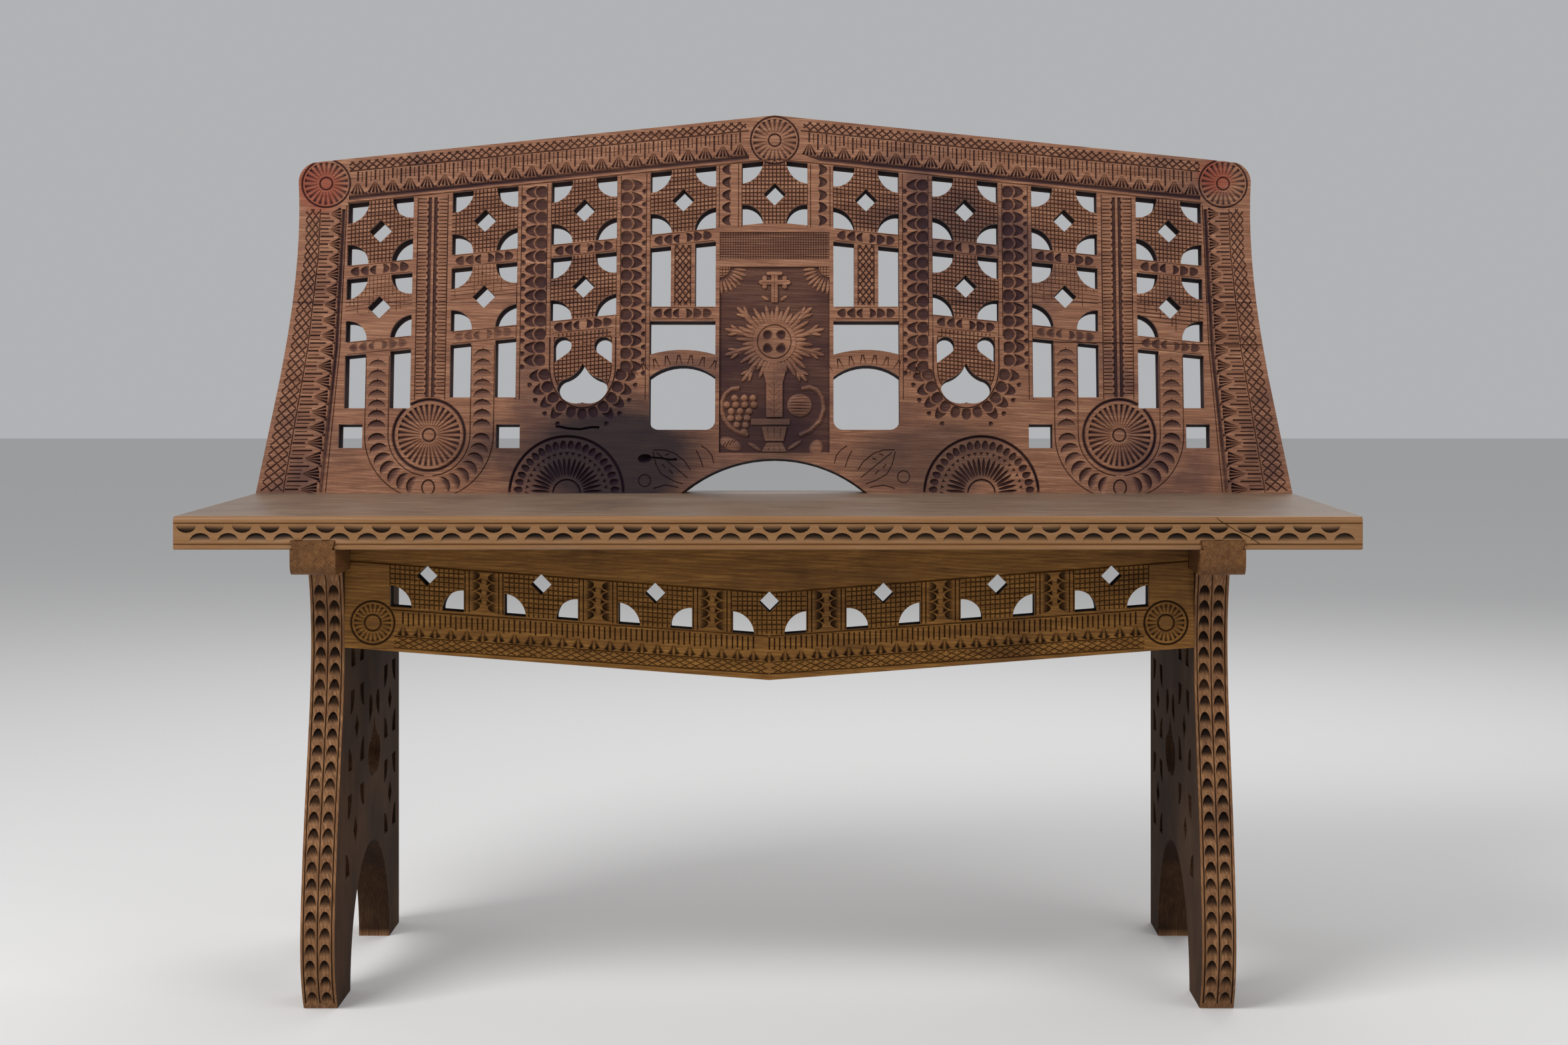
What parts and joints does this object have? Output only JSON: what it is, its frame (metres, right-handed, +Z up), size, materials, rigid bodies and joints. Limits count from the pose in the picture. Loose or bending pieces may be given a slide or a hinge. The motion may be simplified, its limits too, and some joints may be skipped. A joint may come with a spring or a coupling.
{
  "type": "wooden bench",
  "caption": "Plank bench with slab end legs, a pierced carved apron and a tall reclined back of pierced chip-carved boards.",
  "frame": {"origin": "middle of the bench's footprint box, on the floor", "axes": "+X along the seat to the right of someone facing the bench, the front faces -Y, +Z up"},
  "size_m": [1.066, 0.4484, 0.8421],
  "materials": {
    "seat_wood": "satin",
    "back_wood": "satin",
    "apron_wood": "satin",
    "leg_wood": "satin",
    "joinery_wood": "matte"
  },
  "bodies": {
    "root": {"apron": "apron_wood", "back_dowel_1": "joinery_wood", "back_dowel_2": "joinery_wood", "back_dowel_3": "joinery_wood", "back_dowel_4": "joinery_wood", "back_dowel_5": "joinery_wood", "back_dowel_6": "joinery_wood", "back_dowel_7": "joinery_wood", "back_dowel_8": "joinery_wood", "back_key_1": "joinery_wood", "back_key_2": "joinery_wood", "back_key_3": "joinery_wood", "back_key_4": "joinery_wood", "back_lower_board": "back_wood", "back_upper_board": "back_wood", "left_cleat": "leg_wood", "left_cleat_peg_1": "joinery_wood", "left_cleat_peg_2": "joinery_wood", "left_cleat_peg_3": "joinery_wood", "left_leg": "leg_wood", "left_lower_apron_wedge": "joinery_wood", "left_upper_apron_wedge": "joinery_wood", "right_cleat": "leg_wood", "right_cleat_peg_1": "joinery_wood", "right_cleat_peg_2": "joinery_wood", "right_cleat_peg_3": "joinery_wood", "right_leg": "leg_wood", "right_lower_apron_wedge": "joinery_wood", "right_upper_apron_wedge": "joinery_wood", "seat_board": "seat_wood"}
  },
  "joints": []
}
